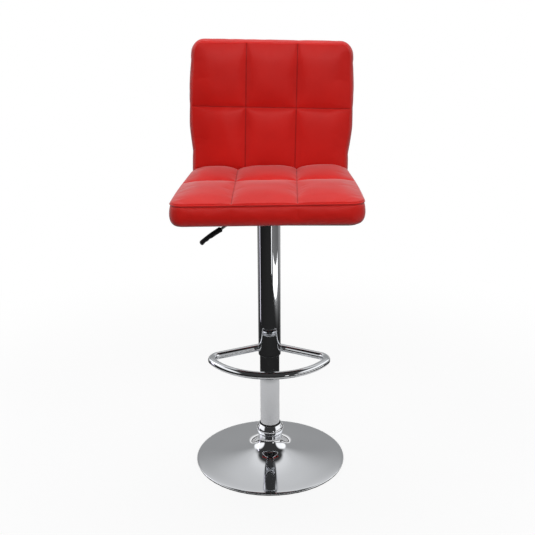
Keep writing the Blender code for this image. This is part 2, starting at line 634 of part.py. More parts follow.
button_pivot = pivot("button_pivot", (0.0, 0.0, 0.0), parent=column_pivot)
disc("gas_button", BUTTON_RADIUS, BUTTON_TOP - BUTTON_LENGTH, BUTTON_TOP, bare_steel, 16, parent=button_pivot)

# ---------------------------------------------------------------- seat


def seat_outline(inset, front_corner, rear_corner, steps):
    front = SEAT_FRONT_WIDTH / 2 - inset
    rear = SEAT_REAR_WIDTH / 2 - inset
    return rounded([(-front, SEAT_FRONT + inset), (front, SEAT_FRONT + inset), (rear, SEAT_REAR - inset),
                    (-rear, SEAT_REAR - inset)],
                   [front_corner - inset * 0.5, front_corner - inset * 0.5, rear_corner, rear_corner], steps)


board_top = BOARD_BOTTOM + BOARD_THICK
seat = slab("seat_cushion", seat_outline(0.0, SEAT_FRONT_CORNER, SEAT_REAR_CORNER, 5), SEAT_BOTTOM, SEAT_TOP,
            red_upholstery, parent=column_pivot, edge=SEAT_EDGE, edge_steps=2)
cut(seat, slab("seat_board_recess", seat_outline(BOARD_INSET - GAP, SEAT_FRONT_CORNER, SEAT_REAR_CORNER, 5),
               SEAT_BOTTOM - 0.01, board_top + GAP, None, parent=column_pivot))
board = slab("seat_board", seat_outline(BOARD_INSET, SEAT_FRONT_CORNER, SEAT_REAR_CORNER, 5), BOARD_BOTTOM, board_top,
             plywood, parent=column_pivot)
cloth = slab("dust_cover", seat_outline(BOARD_INSET, SEAT_FRONT_CORNER, SEAT_REAR_CORNER, 5),
             BOARD_BOTTOM - GAP - CLOTH_THICK, BOARD_BOTTOM - GAP, dark_cloth, parent=column_pivot)

tee_flange_bottom = board_top - TEE_FLANGE_THICK - 0.0002
spots = [(-PLATE_BOLT_X, -PLATE_BOLT_Y), (PLATE_BOLT_X, -PLATE_BOLT_Y), (PLATE_BOLT_X, PLATE_BOLT_Y),
         (-PLATE_BOLT_X, PLATE_BOLT_Y)]
for number, (x, y) in enumerate(spots, 1):
    spot = (x, y, 0.0)
    clear = disc(f"plate_bolt_hole_{number}", PLATE_BOLT_SHANK + GAP, plate_bottom - 0.01, BOARD_BOTTOM, None, 16,
                 parent=column_pivot, location=spot)
    cut(plate, clear)
    cut(cloth, clear)
    cut(board, turned(f"tee_nut_hole_{number}", [
        (0.0, board_top + 0.01), (TEE_FLANGE + GAP, board_top + 0.01), (TEE_FLANGE + GAP, tee_flange_bottom - GAP),
        (TEE_BARREL + GAP, tee_flange_bottom - GAP), (TEE_BARREL + GAP, BOARD_BOTTOM - 0.01),
        (0.0, BOARD_BOTTOM - 0.01)], None, 20, parent=column_pivot, location=spot, ring=False))
    turned(f"tee_nut_{number}", [
        (PLATE_BOLT_SHANK + GAP, tee_flange_bottom + TEE_FLANGE_THICK), (TEE_FLANGE, tee_flange_bottom + TEE_FLANGE_THICK),
        (TEE_FLANGE, tee_flange_bottom), (TEE_BARREL, tee_flange_bottom), (TEE_BARREL, BOARD_BOTTOM + 0.001),
        (PLATE_BOLT_SHANK + GAP, BOARD_BOTTOM + 0.001)], bare_steel, 16, parent=column_pivot, location=spot)
    head_top = plate_bottom - GAP
    bolt = turned(f"plate_bolt_{number}", [
        (0.0, tee_flange_bottom), (PLATE_BOLT_SHANK, tee_flange_bottom), (PLATE_BOLT_SHANK, head_top),
        (PLATE_BOLT_HEAD, head_top), (PLATE_BOLT_HEAD, head_top - PLATE_BOLT_HEAD_HEIGHT),
        (0.0, head_top - PLATE_BOLT_HEAD_HEIGHT)], bare_steel, 12, parent=column_pivot, location=spot, ring=False)
    bolt.modifiers["spin"].use_smooth_shade = False

# ---------------------------------------------------------------- back, leaning about its foot

back_frame = pivot("back_frame", (0.0, BACK_FOOT_Y, SEAT_BOTTOM), (-BACK_LEAN, 0.0, 0.0), parent=column_pivot)
half_foot = BACK_FOOT_WIDTH / 2
half_mid = BACK_MID_WIDTH / 2
half_top = BACK_TOP_WIDTH / 2
back_outline = rounded([
    (-half_foot, 0.0), (half_foot, 0.0), (half_foot + 0.0015, 0.085), (half_mid, 0.160), (half_mid, BACK_HEIGHT - 0.124),
    (half_top, BACK_HEIGHT), (-half_top, BACK_HEIGHT), (-half_mid, BACK_HEIGHT - 0.124), (-half_mid, 0.160),
    (-half_foot - 0.0015, 0.085)],
    [0.018, 0.018, 0.08, 0.08, 0.12, BACK_CORNER, BACK_CORNER, 0.12, 0.08, 0.08], 4)
back = slab("back_cushion", back_outline, -BACK_THICK / 2, BACK_THICK / 2, red_upholstery, parent=back_frame,
            upright=True, edge=BACK_EDGE, edge_steps=2)


def back_board_outline(more):
    half = BACK_BOARD_WIDTH / 2 + more
    low = BACK_BOARD_BOTTOM - more
    high = BACK_BOARD_TOP + more
    return rounded([(-half, low), (half, low), (half, high), (-half, high)],
                   [0.008, 0.008, BACK_BOARD_CORNER, BACK_BOARD_CORNER], 5)


back_board = slab("back_board", back_board_outline(0.0), 0.0, BOARD_THICK, plywood, parent=back_frame, upright=True)
cut(back, slab("back_board_slot", back_board_outline(GAP), -GAP, BOARD_THICK + GAP, None, parent=back_frame,
               upright=True))
half_slot = BACK_BOARD_WIDTH / 2 + GAP
cut(back, solid_box("back_board_mouth", (-half_slot, -GAP, -0.02), (half_slot, BOARD_THICK + GAP, 0.03), None,
                    parent=back_frame))

# ---------------------------------------------------------------- straps and their screws

strap_level = board_top + GAP + STRAP_THICK / 2
strap_front = -GAP - STRAP_THICK / 2  # in the leaning frame
lean = Matrix.Rotation(-BACK_LEAN, 4, "X")
foot = Vector((0.0, BACK_FOOT_Y, SEAT_BOTTOM))
strap_end = foot + lean @ Vector((0.0, strap_front, STRAP_TOP))
up = lean @ Vector((0.0, 0.0, 1.0))
corner = strap_end - up * ((strap_end.z - strap_level) / up.z)


def strap_mesh(name, width, thick, longer):
    """A bent strip: along the seat board, round the bend and up the back board."""
    line = rounded_path([Vector((0.0, STRAP_START_Y - longer, strap_level)), corner, strap_end + up * longer],
                        [STRAP_BEND], 6)
    mesh = bpy.data.meshes.new(name)
    shape = bmesh.new()
    rows = [(shape.verts.new((-width / 2, p.y, p.z)), shape.verts.new((width / 2, p.y, p.z))) for p in line]
    for (a, b), (c, d) in zip(rows, rows[1:]):
        shape.faces.new((a, b, d, c))
    shape.to_mesh(mesh)
    shape.free()
    return mesh


def strap_piece(name, x, width, thick, longer, look):
    piece = place(name, strap_mesh(name, width, thick, longer), look, parent=column_pivot, location=(x, 0.0, 0.0))
    sheet = piece.modifiers.new("sheet", "SOLIDIFY")
    sheet.thickness = thick
    sheet.offset = 0.0
    sheet.use_even_offset = True
    return piece


number = 0
for side, x in (("left", -STRAP_X), ("right", STRAP_X)):
    strap = strap_piece(f"frame_strap_{side}", x, STRAP_WIDTH, STRAP_THICK, 0.0, black_steel)
    pocket = strap_piece(f"strap_pocket_{side}", x, STRAP_WIDTH + 2 * GAP, STRAP_THICK + 2 * GAP, GAP, None)
    cut(seat, pocket)
    cut(back, pocket)
    screws = [
        (column_pivot, (x, 0.045, board_top + GAP + STRAP_THICK), (0.0, 0.0, 0.0), board),
        (back_frame, (x, -GAP - STRAP_THICK, 0.150), (math.pi / 2, 0.0, 0.0), back_board),
    ]
    for parent, spot, turn, wood in screws:
        number += 1
        cushion = seat if wood is board else back
        turned(f"strap_screw_{number}", [
            (0.0, GAP + SCREW_HEAD_HEIGHT), (SCREW_HEAD - 0.0012, GAP + SCREW_HEAD_HEIGHT),
            (SCREW_HEAD, GAP + SCREW_HEAD_HEIGHT - 0.0012), (SCREW_HEAD, GAP), (SCREW_SHANK, GAP),
            (SCREW_SHANK, -SCREW_LENGTH + 0.002), (0.0, -SCREW_LENGTH)], bare_steel, 16, parent=parent,
            location=spot, rotation=turn, ring=False)
        bore = disc(f"strap_screw_bore_{number}", SCREW_SHANK + GAP, -SCREW_LENGTH - GAP, GAP, None, 16, parent=parent,
                    location=spot, rotation=turn)
        cut(strap, bore)
        cut(wood, bore)
        cut(cushion, disc(f"strap_screw_room_{number}", SCREW_HEAD + GAP, -0.001, GAP + SCREW_HEAD_HEIGHT + GAP, None,
                          16, parent=parent, location=spot, rotation=turn))
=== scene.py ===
import json
import math

import bmesh
import bpy
import numpy as np
from mathutils import Matrix, Vector, noise


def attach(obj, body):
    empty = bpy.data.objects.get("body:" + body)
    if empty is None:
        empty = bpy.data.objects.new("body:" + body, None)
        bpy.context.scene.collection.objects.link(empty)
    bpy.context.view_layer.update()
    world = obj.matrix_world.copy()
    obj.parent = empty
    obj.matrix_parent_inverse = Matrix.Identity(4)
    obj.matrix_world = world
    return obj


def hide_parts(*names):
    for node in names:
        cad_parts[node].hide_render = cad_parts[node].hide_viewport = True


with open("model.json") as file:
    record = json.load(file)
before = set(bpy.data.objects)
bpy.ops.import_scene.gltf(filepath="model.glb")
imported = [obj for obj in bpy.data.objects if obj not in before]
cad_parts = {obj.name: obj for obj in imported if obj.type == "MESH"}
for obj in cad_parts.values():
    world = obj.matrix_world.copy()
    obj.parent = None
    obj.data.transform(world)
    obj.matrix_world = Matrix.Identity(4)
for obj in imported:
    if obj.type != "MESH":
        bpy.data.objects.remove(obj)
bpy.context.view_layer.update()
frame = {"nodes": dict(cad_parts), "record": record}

# ---------------------------------------------------------------- shader sums

class Part:
    """A socket or a number in a look, with the sums it takes part in."""

    def __init__(self, look, socket):
        self.look = look
        self.socket = socket

    def _sum(self, operation, first, second):
        return self.look.node("ShaderNodeMath", {"operation": operation}, [first, second])

    def __add__(self, other):
        return self._sum("ADD", self, other)

    __radd__ = __add__

    def __sub__(self, other):
        return self._sum("SUBTRACT", self, other)

    def __rsub__(self, other):
        return self._sum("SUBTRACT", other, self)

    def __mul__(self, other):
        return self._sum("MULTIPLY", self, other)

    __rmul__ = __mul__

    def __pow__(self, power):
        return self._sum("POWER", self, power)

    def least(self, other):
        return self._sum("MINIMUM", self, other)

    def wave(self):
        return self.look.node("ShaderNodeMath", {"operation": "SINE"}, [self])

    def size(self):
        return self.look.node("ShaderNodeMath", {"operation": "ABSOLUTE"}, [self])

    def between(self, low, high):
        """0 below low, 1 above high, smooth between."""
        return self.look.node("ShaderNodeMapRange", {"interpolation_type": "SMOOTHSTEP"}, [self, low, high, 0.0, 1.0])


class Tree:
    """Any node tree, with one way to add a node."""

    def __init__(self, tree):
        self.tree = tree

    def node(self, kind, settings=None, values=(), out=0):
        made = self.tree.nodes.new(kind)
        for name, value in (settings or {}).items():
            setattr(made, name, value)
        pairs = values.items() if isinstance(values, dict) else enumerate(values)
        for name, value in pairs:
            target = made.inputs[name]
            if isinstance(value, Part):
                self.tree.links.new(value.socket, target)
            elif value is not None:
                target.default_value = value
        return Part(self, made.outputs[out]) if out is not None else None

    def split(self, vector):
        made = self.node("ShaderNodeSeparateXYZ", {}, [vector]).socket.node
        return [Part(self, made.outputs[axis]) for axis in range(3)]


class Look(Tree):
    """A material on the Principled shader; fixed values go straight onto its sockets."""

    def __init__(self, name, colour, **fixed):
        self.material = bpy.data.materials.new(name)
        self.material.use_nodes = True
        super().__init__(self.material.node_tree)
        self.shader = self.tree.nodes["Principled BSDF"]
        self.material.diffuse_color = (*colour, 1.0)
        self.shader.inputs["Base Color"].default_value = (*colour, 1.0)
        for name, value in fixed.items():
            self.shader.inputs[name.replace("_", " ")].default_value = value

    def feed(self, name, value):
        self.tree.links.new(value.socket, self.shader.inputs[name])

    def place(self):
        """The point on the piece, in metres."""
        return self.node("ShaderNodeTexCoord", out="Object")

    def stretched(self, x, y, z):
        return self.node("ShaderNodeVectorMath", {"operation": "MULTIPLY"}, [self.place(), (x, y, z)])

    def grain(self, scale, detail=3.0, roughness=0.55, at=None):
        return self.node("ShaderNodeTexNoise", {"noise_dimensions": "3D"},
                         {"Vector": at or self.place(), "Scale": scale, "Detail": detail, "Roughness": roughness})

    def cells(self, scale, feature="F1"):
        return self.node("ShaderNodeTexVoronoi", {"feature": feature},
                         {"Vector": self.place(), "Scale": scale})

    def tint(self, amount, first, second):
        """A colour between two, by amount."""
        made = self.node("ShaderNodeMix", {"data_type": "RGBA"}, {0: amount}, out=2)
        node = made.socket.node
        node.inputs[6].default_value = (*first, 1.0)
        node.inputs[7].default_value = (*second, 1.0)
        return made

    def raise_by(self, height, strength, depth):
        bump = self.node("ShaderNodeBump", {}, {"Height": height, "Strength": strength, "Distance": depth})
        self.feed("Normal", bump)


# ---------------------------------------------------------------- looks

def chrome_look():
    look = Look("polished_chrome", (0.84, 0.85, 0.87), Metallic=1.0, Roughness=0.045)
    haze = look.grain(38.0, 4.0)
    look.feed("Roughness", haze.between(0.45, 0.75) * 0.035 + 0.035)
    look.feed("Base Color", look.tint(look.grain(9.0, 2.0), (0.80, 0.81, 0.83), (0.87, 0.88, 0.90)))
    return look.material


def zinc_look():
    look = Look("zinc_plated_steel", (0.55, 0.56, 0.55), Metallic=1.0, Roughness=0.32)
    streak = look.grain(120.0, 5.0, at=look.stretched(1.0, 1.0, 0.25))
    look.feed("Roughness", streak * 0.25 + 0.22)
    look.feed("Base Color", look.tint(streak, (0.47, 0.48, 0.46), (0.66, 0.66, 0.64)))
    look.raise_by(streak, 0.25, 0.0003)
    return look.material


def black_paint_look():
    look = Look("black_powder_coat", (0.018, 0.018, 0.02), Metallic=0.0, Roughness=0.42)
    peel = look.grain(900.0, 2.0)
    look.feed("Roughness", look.grain(30.0) * 0.18 + 0.34)
    look.feed("Base Color", look.tint(look.grain(22.0), (0.012, 0.012, 0.013), (0.028, 0.028, 0.030)))
    look.raise_by(peel, 0.35, 0.0003)
    return look.material


def cast_look():
    look = Look("painted_cast_iron", (0.05, 0.05, 0.055), Metallic=0.2, Roughness=0.7)
    pits = look.grain(260.0, 6.0, 0.7)
    look.feed("Base Color", look.tint(pits, (0.03, 0.03, 0.032), (0.10, 0.10, 0.105)))
    look.raise_by(pits, 0.6, 0.0008)
    return look.material


def rubber_look():
    look = Look("black_rubber", (0.015, 0.015, 0.015), Roughness=0.7)
    dust = look.grain(140.0, 4.0)
    look.feed("Base Color", look.tint(dust, (0.010, 0.010, 0.010), (0.032, 0.031, 0.030)))
    look.feed("Roughness", dust * 0.2 + 0.6)
    look.raise_by(look.grain(1500.0, 2.0), 0.3, 0.0002)
    return look.material


def plastic_look():
    look = Look("black_moulded_plastic", (0.010, 0.010, 0.011), Roughness=0.36, Specular_IOR_Level=0.5)
    look.feed("Base Color", look.tint(look.grain(60.0), (0.007, 0.007, 0.008), (0.020, 0.020, 0.022)))
    look.feed("Roughness", look.grain(45.0) * 0.2 + 0.28)
    look.raise_by(look.cells(1600.0), 0.25, 0.00015)
    return look.material


def plywood_look():
    look = Look("birch_plywood", (0.52, 0.38, 0.22), Roughness=0.6)
    figure = look.grain(14.0, 5.0, 0.6, at=look.stretched(1.0, 7.0, 7.0))
    plies = (look.node("ShaderNodeSeparateXYZ", {}, [look.place()], out=2) * 2200.0).wave()
    look.feed("Base Color", look.tint(figure.between(0.3, 0.7) * 0.8 + plies * 0.1,
                                      (0.40, 0.27, 0.14), (0.62, 0.47, 0.29)))
    look.raise_by(figure, 0.3, 0.0004)
    return look.material


def backing_look():
    look = Look("black_backing_cloth", (0.02, 0.02, 0.022), Roughness=0.92)
    weave = look.cells(900.0)
    look.feed("Base Color", look.tint(weave.between(0.1, 0.6), (0.010, 0.010, 0.011), (0.042, 0.042, 0.045)))
    look.raise_by(weave, 0.7, 0.0003)
    return look.material


def leather_look():
    look = Look("red_coated_leather", (0.56, 0.012, 0.009), Roughness=0.42, Specular_IOR_Level=0.42,
                Sheen_Weight=0.35, Sheen_Roughness=0.4)
    pebble = look.cells(1050.0, "SMOOTH_F1")
    crease = look.grain(420.0, 4.0, 0.6)
    cloud = look.grain(11.0, 3.0)
    plain = look.tint(cloud.between(0.25, 0.75) * 0.7 + crease * 0.3, (0.55, 0.010, 0.007), (0.63, 0.014, 0.010))
    # The seam lines and the gusset grooves are darkened in the colour: painted shade in their creases.
    sewn = look.node("ShaderNodeAttribute", {"attribute_name": "seam_shade_line"}, out="Fac")
    painted_seam_shade = look.tint(sewn.between(0.30, 0.95) * 0.60, (0.6, 0.012, 0.009), (0.19, 0.003, 0.003))
    look.tree.links.new(plain.socket, painted_seam_shade.socket.node.inputs[6])
    look.feed("Base Color", painted_seam_shade)
    look.feed("Roughness", pebble.between(0.1, 0.7) * 0.08 + cloud * 0.08 + 0.36)
    look.raise_by(pebble * 0.6 + crease * 0.4, 0.22, 0.00035)
    return look.material


CHROME = chrome_look()
ZINC = zinc_look()
BLACK_PAINT = black_paint_look()
CAST = cast_look()
RUBBER = rubber_look()
PLASTIC = plastic_look()
PLYWOOD = plywood_look()
BACKING = backing_look()
LEATHER = leather_look()

SLOT_LOOKS = {
    "chrome": CHROME, "rod_chrome": CHROME, "zinc_steel": ZINC, "black_steel": BLACK_PAINT, "cast_weight": CAST,
    "black_rubber": RUBBER, "black_plastic": PLASTIC, "plywood": PLYWOOD, "dark_cloth": BACKING,
    "red_upholstery": LEATHER,
}
for entry in frame["record"]["subparts"]:
    node = frame["nodes"][entry["node"]]
    node.data.materials.clear()
    node.data.materials.append(SLOT_LOOKS[entry["material_slot"]])


# ---------------------------------------------------------------- making pieces


def new_piece(name, mesh, look, body, instead_of=()):
    piece = bpy.data.objects.new(name, mesh)
    bpy.context.scene.collection.objects.link(piece)
    mesh.materials.append(look)
    for face in mesh.polygons:
        face.use_smooth = True
    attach(piece, body)
    if instead_of:
        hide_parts(*instead_of)
    return piece


def finished_mesh(shape, name):
    """The mesh of a shape, with its faces turned outwards."""
    bmesh.ops.recalc_face_normals(shape, faces=shape.faces)
    mesh = bpy.data.meshes.new(name)
    shape.to_mesh(mesh)
    shape.free()
    return mesh


def capped_loops(shape, loops):
    """Faces between neighbouring loops, and one across each end."""
    for first, second in zip(loops, loops[1:]):
        for n in range(len(first)):
            m = (n + 1) % len(first)
            shape.faces.new((first[n], first[m], second[m], second[n]))
    for loop in (loops[0], loops[-1]):
        shape.faces.new(loop)


def turned(name, profile, look, body, instead_of=(), steps=144):
    """A turned ring from (radius, height) points listed down its outer side and up its inner one."""
    shape = bmesh.new()
    angles = [math.tau * k / steps for k in range(steps)]
    loops = []
    for radius, height in profile:
        loops.append([shape.verts.new((radius * math.cos(a), radius * math.sin(a), height)) for a in angles])
    for upper, lower in zip(loops, loops[1:] + loops[:1]):
        for k in range(steps):
            n = (k + 1) % steps
            shape.faces.new((upper[k], lower[k], lower[n], upper[n]))
    piece = new_piece(name, finished_mesh(shape, name), look, body, instead_of)
    sharp_by_angle(piece, 26)
    return piece


def sharp_by_angle(piece, degrees):
    shape = bmesh.new()
    shape.from_mesh(piece.data)
    for edge in shape.edges:
        edge.smooth = len(edge.link_faces) == 2 and edge.calc_face_angle(0.0) < math.radians(degrees)
    shape.to_mesh(piece.data)
    shape.free()


def round_bar(name, path, radius_at, look, body, instead_of=(), sides=24):
    """A round bar along points, its radius given for each share of the length; both ends are closed."""
    shape = bmesh.new()
    points = [Vector(p) for p in path]
    lengths = [0.0]
    for a, b in zip(points, points[1:]):
        lengths.append(lengths[-1] + (b - a).length)
    across = None
    loops = []
    for k, point in enumerate(points):
        ahead = (points[min(k + 1, len(points) - 1)] - points[max(k - 1, 0)]).normalized()
        if across is None:
            aside = Vector((0.0, 0.0, 1.0)) if abs(ahead.z) < 0.9 else Vector((1.0, 0.0, 0.0))
            across = ahead.cross(aside).normalized()
        across = (across - ahead * across.dot(ahead)).normalized()
        up = ahead.cross(across)
        radius = radius_at(lengths[k] / lengths[-1])
        loops.append([shape.verts.new(point + (across * math.cos(math.tau * n / sides)
                                               + up * math.sin(math.tau * n / sides)) * radius)
                      for n in range(sides)])
    capped_loops(shape, loops)
    piece = new_piece(name, finished_mesh(shape, name), look, body, instead_of)
    sharp_by_angle(piece, 50)
    return piece


def filleted(points, radii, steps=8):
    """A path whose inner corners are arcs."""
    path = [Vector(points[0])]
    for i in range(1, len(points) - 1):
        here = Vector(points[i])
        before = (Vector(points[i - 1]) - here).normalized()
        after = (Vector(points[i + 1]) - here).normalized()
        half = before.angle(after) / 2
        reach = radii[i - 1] / math.tan(half)
        middle = here + (before + after).normalized() * (radii[i - 1] / math.sin(half))
        first = here + before * reach - middle
        last = here + after * reach - middle
        for k in range(steps + 1):
            path.append(middle + first.lerp(last, k / steps).normalized() * radii[i - 1])
    path.append(Vector(points[-1]))
    return path


# ---------------------------------------------------------------- chrome base, tubes and foot hoop

GAP = 0.0003
NECK = 0.0305
RIM = 0.195
SHEET = 0.0015


def eased(points, rounds=2):
    """The same line with its inner corners cut twice, so that it turns smoothly."""
    for _ in range(rounds):
        cut = [points[0]]
        for (ax, ay), (bx, by) in zip(points, points[1:]):
            cut.append((ax * 0.75 + bx * 0.25, ay * 0.75 + by * 0.25))
            cut.append((ax * 0.25 + bx * 0.75, ay * 0.25 + by * 0.75))
        cut.append(points[-1])
        points = cut
    return points


base_side = eased([(NECK, 0.0740), (NECK, 0.0650), (0.0318, 0.0585), (0.0358, 0.0503), (0.0412, 0.0432),
                   (0.0480, 0.0373), (0.0565, 0.0323), (0.0680, 0.0279), (0.0820, 0.0238), (0.0980, 0.0200),
                   (0.1180, 0.0162), (0.1400, 0.0128), (0.1600, 0.0102), (0.1880, 0.0074), (0.1936, 0.0058),
                   (RIM, 0.0045), (RIM, 0.0033)])
base_inside = [(max(radius - SHEET * 0.8, 0.0), height - SHEET * 0.8) for radius, height in base_side[3:-3]]
turned("base_disc", base_side + [(RIM - SHEET, 0.0033)] + base_inside[::-1] + [(NECK - SHEET, 0.0740)],
       CHROME, "base", ("base_cover",))

TUBE = 0.025
turned("neck_bulge", [(TUBE + 0.0018, 0.1020), (TUBE + 0.0021, 0.1032)]
       + eased([(TUBE + 0.0030, 0.1035), (0.0290, 0.1035), (0.0315, 0.0990), (0.0345, 0.0940), (0.0361, 0.0880),
                (0.0350, 0.0805), (0.0322, 0.0756), (0.0300, 0.0744)])
       + [(TUBE + GAP, 0.0743), (TUBE + GAP, 0.0994), (TUBE + 0.0018, 0.0994)], CHROME, "base", ("neck_collar",))

TUBE_FOOT, TUBE_TOP = 0.0129, 0.395
CHAMFER = 0.0004
turned("fixed_tube", [(TUBE - CHAMFER, TUBE_TOP), (TUBE, TUBE_TOP - CHAMFER), (TUBE, TUBE_FOOT),
                      (TUBE - SHEET, TUBE_FOOT), (TUBE - SHEET, TUBE_TOP)], CHROME, "base", ("lower_tube",))

COVER = 0.0285
COVER_END, COVER_TOP = 0.304, 0.6585
COVER_ROUND = 0.0005
turned("sliding_cover", [(COVER - CHAMFER, COVER_TOP), (COVER, COVER_TOP - CHAMFER), (COVER, COVER_END + COVER_ROUND),
                         (COVER - COVER_ROUND, COVER_END), (COVER - SHEET, COVER_END), (COVER - SHEET, COVER_TOP)],
       CHROME, "column", ("cover_tube",))

HOOP_Z = 0.313
HOOP_BAR = 0.0095
ARM_SWEEP = math.radians(27.4)
ARC = 0.161


def hoop_path():
    arm = Vector((math.cos(ARM_SWEEP), -math.sin(ARM_SWEEP), 0.0))
    arm_point = Vector((0.0376, 0.0055, HOOP_Z))
    arc = []
    for step in range(61):
        angle = -math.radians(30) - math.radians(120) * step / 60
        arc.append(Vector((ARC * math.cos(angle), ARC * math.sin(angle), HOOP_Z)))
    tangent = Vector((0.5, math.cos(math.radians(30)), 0.0))
    between = arc[0] - arm_point
    along = (between.x * tangent.y - between.y * tangent.x) / (arm.x * tangent.y - arm.y * tangent.x)
    corner = arm_point + arm * along
    root = arm_point - arm * 0.0125
    half = filleted([root, corner, arc[0]], [0.027], 14)
    mirrored = [Vector((-p.x, p.y, p.z)) for p in reversed(half)]
    return half + arc[1:-1] + mirrored, arm_point, arm


hoop_line, arm_point, arm = hoop_path()
hoop_bar = round_bar("foot_hoop", hoop_line, lambda share: HOOP_BAR, CHROME, "column", ("footrest_hoop",), 28)
# Each end of the hoop is cut to the round of the tube, inside its wall.
COPE = COVER - 0.0010
for vert in hoop_bar.data.vertices:
    away = Vector((vert.co.x, vert.co.y))
    if away.length < COPE:
        out = Vector((math.copysign(arm.x, away.x), arm.y))
        back = away.dot(out)
        away += out * (math.sqrt(back * back + COPE ** 2 - away.length_squared) - back)
        vert.co.x, vert.co.y = away
for side, way in (("right", 1), ("left", -1)):
    direction = Vector((arm.x * way, arm.y, 0.0))
    root = Vector((arm_point.x * way, arm_point.y, HOOP_Z)) - direction * 0.0096
    bead_up = Vector((0.0, 0.0, 1.0))
    bead_side = direction.cross(bead_up)
    path = []
    for k in range(41):
        turn = math.tau * k / 40
        wobble = 0.0003 * math.sin(turn * 9 + way)
        spot = bead_side * math.cos(turn) * (HOOP_BAR + wobble) + bead_up * math.sin(turn) * (HOOP_BAR + wobble)
        level = root + spot
        flat = Vector((level.x, level.y))
        reach = flat.normalized() * (COVER + 0.0006)
        path.append(Vector((reach.x, reach.y, level.z)))
    round_bar("weld_bead_" + side, path, lambda share: 0.0017 + 0.0002 * math.sin(share * 150),
              CHROME, "column", (), 10)

# ---------------------------------------------------------------- lever grip

GRIP_IN = Vector((-0.1135, -0.0480, 0.6500))
GRIP_OUT = Vector((-0.1640, -0.0665, 0.6175))


def grip_piece():
    """The moulded grip: arched along its top, with finger notches under its outer end."""
    line = (GRIP_OUT - GRIP_IN)
    length = line.length
    ahead = line.normalized()
    up = (Vector((0.0, 0.0, 1.0)) - ahead * ahead.z).normalized()
    side = ahead.cross(up)
    shape = bmesh.new()
    loops = []
    rows, sides = 64, 32
    for k in range(rows + 1):
        share = k / rows
        arch = 0.0016 * math.sin(math.pi * share)
        fall = 1.0 - 0.10 * share
        end = 1.0
        if share < 0.06:
            end = 0.55 + 0.45 * math.sqrt(max(0.0, 1 - (1 - share / 0.06) ** 2))
        if share > 0.93:
            end = 0.25 + 0.75 * math.sqrt(max(0.0, 1 - ((share - 0.93) / 0.07) ** 2))
        notch = 0.0
        for middle in (0.60, 0.80):
            notch += math.exp(-((share - middle) / 0.055) ** 2)
        lip = math.exp(-((share - 0.045) / 0.02) ** 2)
        loop = []
        for n in range(sides):
            turn = math.tau * n / sides
            over, out = math.sin(turn), math.cos(turn)
            radius = 0.0067 * fall * end
            tall = radius * (1.0 + 0.05 * lip)
            if over < 0:
                tall -= 0.0019 * notch * (-over) ** 1.5
            point = (GRIP_IN + ahead * (share * length) + up * (over * tall + arch)
                     + side * (out * radius * (1.0 + 0.05 * lip)))
            loop.append(shape.verts.new(point))
        loops.append(loop)
    capped_loops(shape, loops)
    piece = new_piece("moulded_grip", finished_mesh(shape, "moulded_grip"), PLASTIC, "lever", ("lever_grip",))
    sharp_by_angle(piece, 60)


grip_piece()

# ---------------------------------------------------------------- upholstery

STEP = 0.0056
SEAM_HALF = 0.0026


def smooth(low, high, value):
    t = min(max((value - low) / (high - low), 0.0), 1.0)
    return t * t * (3 - 2 * t)


def grid_lines(edges, seams, corners):
    """Places of the grid's lines: even between the stops, with a close pair beside each seam."""
    stops = [edges[0], edges[0] + corners[0]]
    for seam in seams:
        stops += [seam - SEAM_HALF, seam, seam + SEAM_HALF]
    stops += [edges[1] - corners[1], edges[1]]
    lines = []
    for start, end in zip(stops, stops[1:]):
        count = max(1, round((end - start) / STEP))
        lines += [start + (end - start) * k / count for k in range(count)]
    return lines + [stops[-1]]


